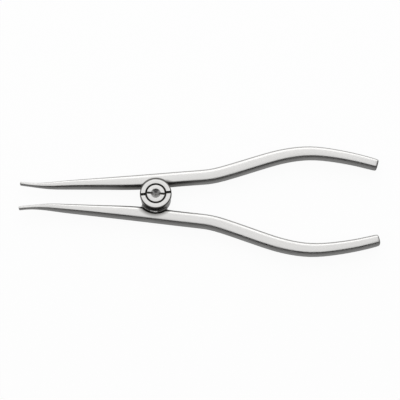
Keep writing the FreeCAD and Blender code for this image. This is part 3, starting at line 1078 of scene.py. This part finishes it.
def arm_steel():
    """Belt-polished faces and duller flanks painted darker, with painted shade near the joint."""
    material, tree, shader, place, normal = start_steel("polished_forging")
    stored = add_node(tree, "Attribute", attribute_name="run", attribute_type="GEOMETRY")
    run = stored.outputs["Vector"]
    grain = place_group(tree, BELT_GRAIN, {"Run": run, "Stretch": GRAIN_STRETCH})
    streaks = place_group(tree, BELT_GRAIN, {"Run": run, "Stretch": STREAK_STRETCH})
    marks = place_group(tree, HANDLING_MARKS, {"Place": place, "Width": 0.006})
    haze = place_group(tree, FINGER_HAZE, {"Place": place, "Size": 9.0})
    # Painted shade in crevices, from how little open space is near.
    crevice_shading = place_group(tree, PAINTED_CREVICE_SHADE, {"Reach": 0.8 * MM})
    wear = place_group(tree, WORN_EDGES, {"Start": 0.53})
    upright = compute(tree, "ABSOLUTE", turned_to(tree, normal, 2))
    flank = spread(tree, upright, *FLANK_TURN)
    tone = lay_tones(tree, POLISHED, [
        # Painted dark reflection: the flanks' colour is made darker.
        (flank, 1.0, GRAIN_AND_SHADE_GREY),
        (streaks, 0.16, GRAIN_AND_SHADE_GREY),
        (wear, 0.35, BRIGHT),
        # Painted shade on the front faces near the collar.
        (shaded_faces_near_collar(tree, place), 1.0, PAINTED_SHADE_TONE),
        # Painted dark line along the seam.
        (painted_seam_line(tree, upright), 0.35, PAINTED_SHADE_TONE),
        # Painted shade on the heel's cut end.
        (shaded_heel_end(tree, run), 0.9, PAINTED_SHADE_TONE),
        # Painted shade on flanks that look at the other arm.
        (shaded_inner_flanks(tree, place, normal), 0.85, PAINTED_SHADE_TONE),
        # Painted shade in crevices.
        (crevice_shading, 1.0, CREVICE_SHADE_TONE)])
    rough = spread(tree, grain, *NOISE_BAND, *FACE_ROUGHNESS)
    rough = compute(tree, "ADD", rough, compute(tree, "MULTIPLY", haze, HAZE_DULLS))
    rough = compute(tree, "ADD", rough, compute(tree, "MULTIPLY", flank, FLANK_DULLS))
    height = compute(tree, "MULTIPLY", grain, GRAIN_DEPTH)
    height = compute(tree, "SUBTRACT", height, compute(tree, "MULTIPLY", marks, SCRATCH_DEPTH))
    finish_steel(tree, shader, tone, rough, height)
    return material


ARM_STEEL = arm_steel()
print(ARM_STEEL.name, "has", len(ARM_STEEL.node_tree.nodes), "nodes")

# %% [markdown]
# The collar and the screw were cut on a lathe, so their marks are rings round the axis. Their
# walls, slot floors and recesses, and the lips beside a gap, get painted shade. The gap round
# the screw's head is a third of a millimetre wide, hardly a pixel in a picture, and the painted
# shade on its lips is what makes it seen.

# %% Steel of the collar and the screw
RING_FINENESS = 7.0
RING_DEPTH = 0.003
TURNED_ROUGHNESS = (0.22, 0.32)
# Each of these goes from no painted shade to full painted shade: how upright the normal is on
# a wall and on a slot's floor, and how far a recess lies below the collar's top.
WALL_TURN = (0.6, 0.3)
FLOOR_TURN = (0.9, 0.99)
RECESS_BELOW = (0.04, 0.14)
# The same for painted shade on lips, as distances from the axis.
COLLAR_LIPS = [(5.64, 5.78), (4.26, 4.12)]
SCREW_LIPS = [(3.3, 3.45)]


def turned_steel(name, shade_reach, lips):
    """Lathe-turned steel, with painted shade on its walls, in its recesses and along its lips."""
    material, tree, shader, place, normal = start_steel(name)
    rings = place_group(tree, TURNED_RINGS, {"Place": place, "Fineness": RING_FINENESS})
    marks = place_group(tree, HANDLING_MARKS, {"Place": place, "Width": 0.008})
    haze = place_group(tree, FINGER_HAZE, {"Place": place, "Size": 3.0})
    # Painted shade in crevices, from how little open space is near.
    crevice_shading = place_group(tree, PAINTED_CREVICE_SHADE, {"Reach": shade_reach})
    wear = place_group(tree, WORN_EDGES, {"Start": 0.54})
    upright = compute(tree, "ABSOLUTE", turned_to(tree, normal, 2))
    wall = spread(tree, upright, *WALL_TURN)
    radius, _, up = from_axis(tree, place)
    # Recesses below the collar's top get painted shade.
    recess = spread(tree, compute(tree, "SUBTRACT", COLLAR_TOP, up), *RECESS_BELOW)
    slot_floor = compute(tree, "MULTIPLY", recess, spread(tree, upright, *FLOOR_TURN))
    # Painted shade on walls and slot floors.
    shaded_walls_and_floors = compute(tree, "MAXIMUM", wall, slot_floor)
    # Painted shade along the lips.
    shaded_lips = [(spread(tree, radius, clean, dark), 1.0, PAINTED_SHADE_TONE) for clean, dark in lips]
    tone = lay_tones(tree, POLISHED, [
        (rings, 0.12, GRAIN_AND_SHADE_GREY),
        (wear, 0.4, BRIGHT),
        # Painted shade in recesses.
        (recess, 0.5, GRAIN_AND_SHADE_GREY),
        # Painted shade on walls and slot floors.
        (shaded_walls_and_floors, 1.0, PAINTED_SHADE_TONE),
        # Painted shade along the lips.
        *shaded_lips,
        # Painted shade in crevices.
        (crevice_shading, 1.0, CREVICE_SHADE_TONE)])
    rough = spread(tree, rings, *NOISE_BAND, *TURNED_ROUGHNESS)
    rough = compute(tree, "ADD", rough, compute(tree, "MULTIPLY", haze, HAZE_DULLS))
    height = compute(tree, "MULTIPLY", rings, RING_DEPTH)
    height = compute(tree, "SUBTRACT", height, compute(tree, "MULTIPLY", marks, SCRATCH_DEPTH))
    finish_steel(tree, shader, tone, rough, height)
    return material


COLLAR_STEEL = turned_steel("turned_collar", 1.2 * MM, COLLAR_LIPS)
SCREW_STEEL = turned_steel("turned_screw", 0.7 * MM, SCREW_LIPS)
for steel in (COLLAR_STEEL, SCREW_STEEL):
    print(steel.name, "has", len(steel.node_tree.nodes), "nodes")

# %% [markdown]
# ## Fit the pieces to the model
#
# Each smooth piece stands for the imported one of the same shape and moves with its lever.
# The collar turns with the upper arm and the screw with the lower one.

# %% Pieces, bodies and slots
DRESSING = [
    (upper_forging, "upper_arm", "upper_lever", ARM_STEEL, "arm_steel"),
    (lower_forging, "lower_arm", "lower_lever", ARM_STEEL, "arm_steel"),
    (slotted_collar, "wire_collar", "upper_lever", COLLAR_STEEL, "collar_steel"),
    (shouldered_screw, "pivot_screw", "lower_lever", SCREW_STEEL, "screw_steel")]
for piece, node, body, steel, slot in DRESSING:
    piece.data.materials.append(steel)
    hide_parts(node)
    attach(piece, body)
    print(piece.name, "stands for", node, "on", body)
